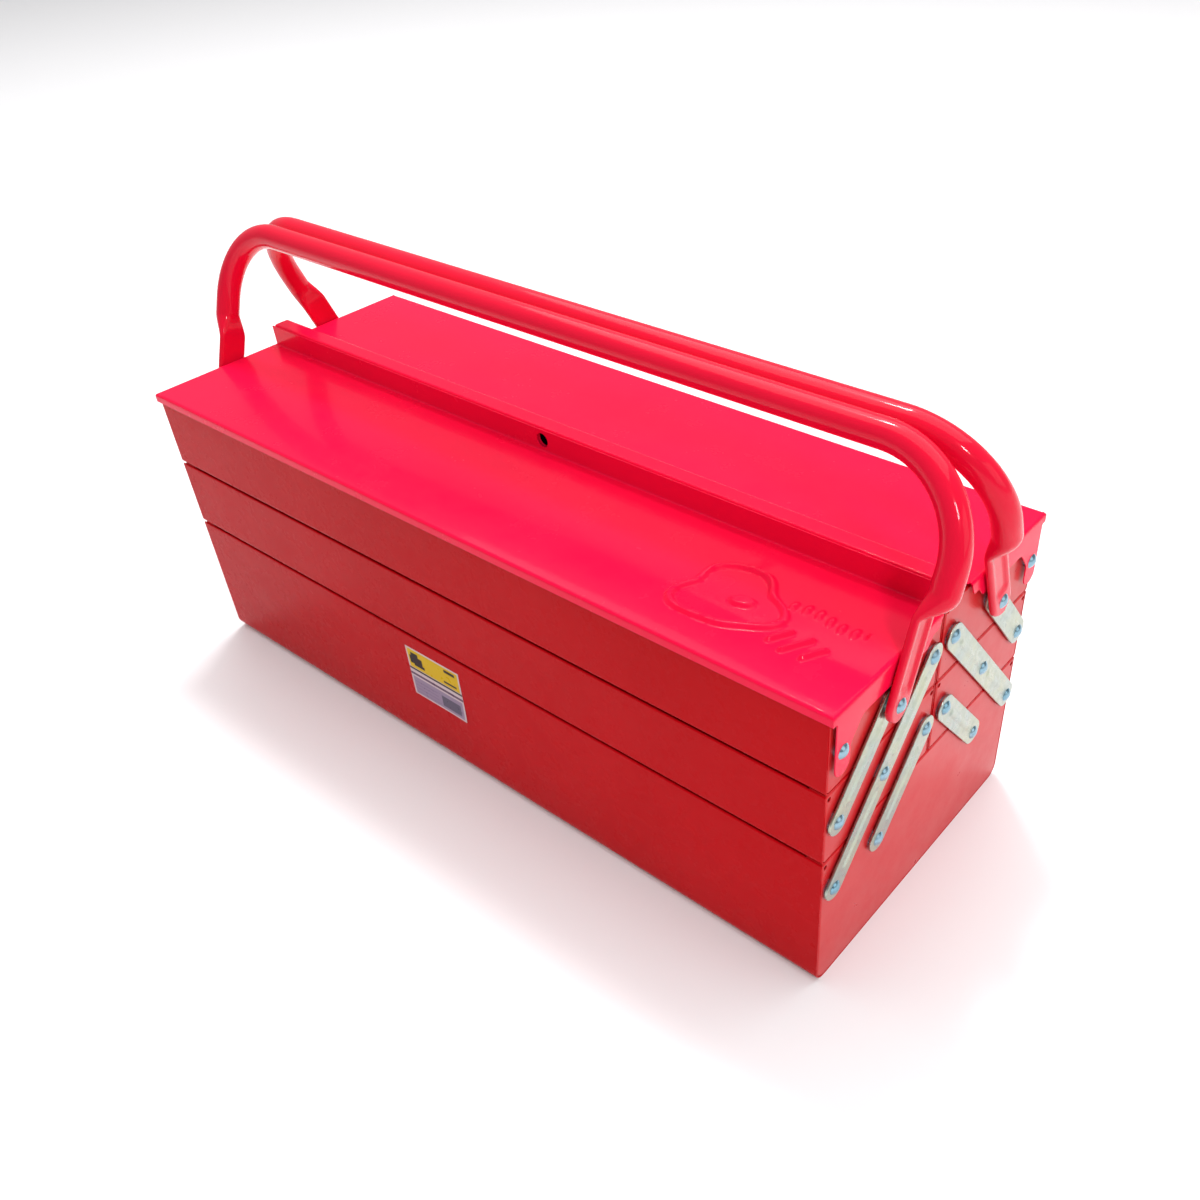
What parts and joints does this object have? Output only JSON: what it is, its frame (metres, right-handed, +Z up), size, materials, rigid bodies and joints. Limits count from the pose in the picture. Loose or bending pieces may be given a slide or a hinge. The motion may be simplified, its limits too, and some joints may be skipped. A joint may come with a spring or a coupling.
{
  "type": "cantilever toolbox",
  "caption": "Red sheet steel cantilever toolbox with stacked trays on riveted zinc arms, hinged lids with a padlock ridge and twin tubular carrying handles.",
  "frame": {"origin": "middle of the base's underside, with the box closed", "axes": "+X along the length to the right end, -Y to the front with the label, +Z up"},
  "size_m": [0.564, 0.2006, 0.2805],
  "materials": {
    "red_tray": "gloss enamel",
    "red_end": "gloss enamel",
    "red_lid": "gloss enamel",
    "red_handle": "gloss enamel",
    "zinc_strap": "zinc plated",
    "zinc_rivet": "blue zinc plated",
    "label": "printed film"
  },
  "bodies": {
    "base": {"base_shell": "red_tray", "base_end_left": "red_end", "base_end_right": "red_end", "base_rivets": "zinc_rivet", "base_washers": "zinc_rivet", "label": "label"},
    "front_long_arms": {"front_long_arm_left": "zinc_strap", "front_long_arm_right": "zinc_strap"},
    "front_short_arms": {"front_short_arm_left": "zinc_strap", "front_short_arm_right": "zinc_strap"},
    "front_middle_tray": {"front_middle_shell": "red_tray", "front_middle_end_left": "red_end", "front_middle_end_right": "red_end", "front_middle_rivets": "zinc_rivet", "front_middle_washers": "zinc_rivet"},
    "front_top_tray": {"front_top_shell": "red_tray", "front_top_end_left": "red_end", "front_top_end_right": "red_end", "front_arm_rivets": "zinc_rivet", "front_arm_washers": "zinc_rivet", "front_handle_rivets": "zinc_rivet", "front_handle_washers": "zinc_rivet", "front_handle_spacers": "zinc_rivet", "front_lid_rivets": "zinc_rivet", "front_lid_spacers": "zinc_rivet"},
    "front_handle_frame": {"front_handle": "red_handle", "front_handle_link_left": "zinc_strap", "front_handle_link_right": "zinc_strap"},
    "front_lid_body": {"front_lid": "red_lid"},
    "rear_long_arms": {"rear_long_arm_left": "zinc_strap", "rear_long_arm_right": "zinc_strap"},
    "rear_short_arms": {"rear_short_arm_left": "zinc_strap", "rear_short_arm_right": "zinc_strap"},
    "rear_middle_tray": {"rear_middle_shell": "red_tray", "rear_middle_end_left": "red_end", "rear_middle_end_right": "red_end", "rear_middle_rivets": "zinc_rivet", "rear_middle_washers": "zinc_rivet"},
    "rear_top_tray": {"rear_top_shell": "red_tray", "rear_top_end_left": "red_end", "rear_top_end_right": "red_end", "rear_arm_rivets": "zinc_rivet", "rear_arm_washers": "zinc_rivet", "rear_handle_rivets": "zinc_rivet", "rear_handle_washers": "zinc_rivet", "rear_handle_spacers": "zinc_rivet", "rear_lid_rivets": "zinc_rivet", "rear_lid_spacers": "zinc_rivet"},
    "rear_handle_frame": {"rear_handle": "red_handle", "rear_handle_link_left": "zinc_strap", "rear_handle_link_right": "zinc_strap"},
    "rear_lid_body": {"rear_lid": "red_lid"}
  },
  "joints": [
    {"name": "front_spread", "type": "hinge", "parent": "base", "child": "front_long_arms", "pos_m": [0, -0.09, 0.0715], "axis": [1, 0, 0], "range_deg": [0, 80]},
    {"name": "front_middle_tray_level", "type": "hinge", "parent": "front_long_arms", "child": "front_middle_tray", "pos_m": [0, -0.05, 0.1185], "axis": [1, 0, 0], "range_deg": [-80, 0]},
    {"name": "front_top_tray_level", "type": "hinge", "parent": "front_long_arms", "child": "front_top_tray", "pos_m": [0, -0.01, 0.1655], "axis": [1, 0, 0], "range_deg": [-80, 0]},
    {"name": "front_short_arm_turn", "type": "hinge", "parent": "base", "child": "front_short_arms", "pos_m": [0, -0.05, 0.0715], "axis": [1, 0, 0], "range_deg": [0, 80]},
    {"name": "front_handle_turn", "type": "hinge", "parent": "front_top_tray", "child": "front_handle_frame", "pos_m": [0, -0.05, 0.1655], "axis": [1, 0, 0], "range_deg": [0, 80]},
    {"name": "front_lid_open", "type": "hinge", "parent": "front_top_tray", "child": "front_lid_body", "pos_m": [0, -0.091, 0.1655], "axis": [1, 0, 0], "range_deg": [0, 88]},
    {"name": "rear_spread", "type": "hinge", "parent": "base", "child": "rear_long_arms", "pos_m": [0, 0.09, 0.0715], "axis": [-1, 0, 0], "range_deg": [0, 80]},
    {"name": "rear_middle_tray_level", "type": "hinge", "parent": "rear_long_arms", "child": "rear_middle_tray", "pos_m": [0, 0.05, 0.1185], "axis": [-1, 0, 0], "range_deg": [-80, 0]},
    {"name": "rear_top_tray_level", "type": "hinge", "parent": "rear_long_arms", "child": "rear_top_tray", "pos_m": [0, 0.01, 0.1655], "axis": [-1, 0, 0], "range_deg": [-80, 0]},
    {"name": "rear_short_arm_turn", "type": "hinge", "parent": "base", "child": "rear_short_arms", "pos_m": [0, 0.05, 0.0715], "axis": [-1, 0, 0], "range_deg": [0, 80]},
    {"name": "rear_handle_turn", "type": "hinge", "parent": "rear_top_tray", "child": "rear_handle_frame", "pos_m": [0, 0.05, 0.1655], "axis": [-1, 0, 0], "range_deg": [0, 80]},
    {"name": "rear_lid_open", "type": "hinge", "parent": "rear_top_tray", "child": "rear_lid_body", "pos_m": [0, 0.091, 0.1655], "axis": [-1, 0, 0], "range_deg": [0, 88]}
  ],
  "couplings": [
    {"joint": "front_middle_tray_level", "follows": "front_spread", "ratio": -1},
    {"joint": "front_top_tray_level", "follows": "front_spread", "ratio": -1},
    {"joint": "front_short_arm_turn", "follows": "front_spread", "ratio": 1},
    {"joint": "front_handle_turn", "follows": "front_spread", "ratio": 1},
    {"joint": "rear_middle_tray_level", "follows": "rear_spread", "ratio": -1},
    {"joint": "rear_top_tray_level", "follows": "rear_spread", "ratio": -1},
    {"joint": "rear_short_arm_turn", "follows": "rear_spread", "ratio": 1},
    {"joint": "rear_handle_turn", "follows": "rear_spread", "ratio": 1}
  ]
}
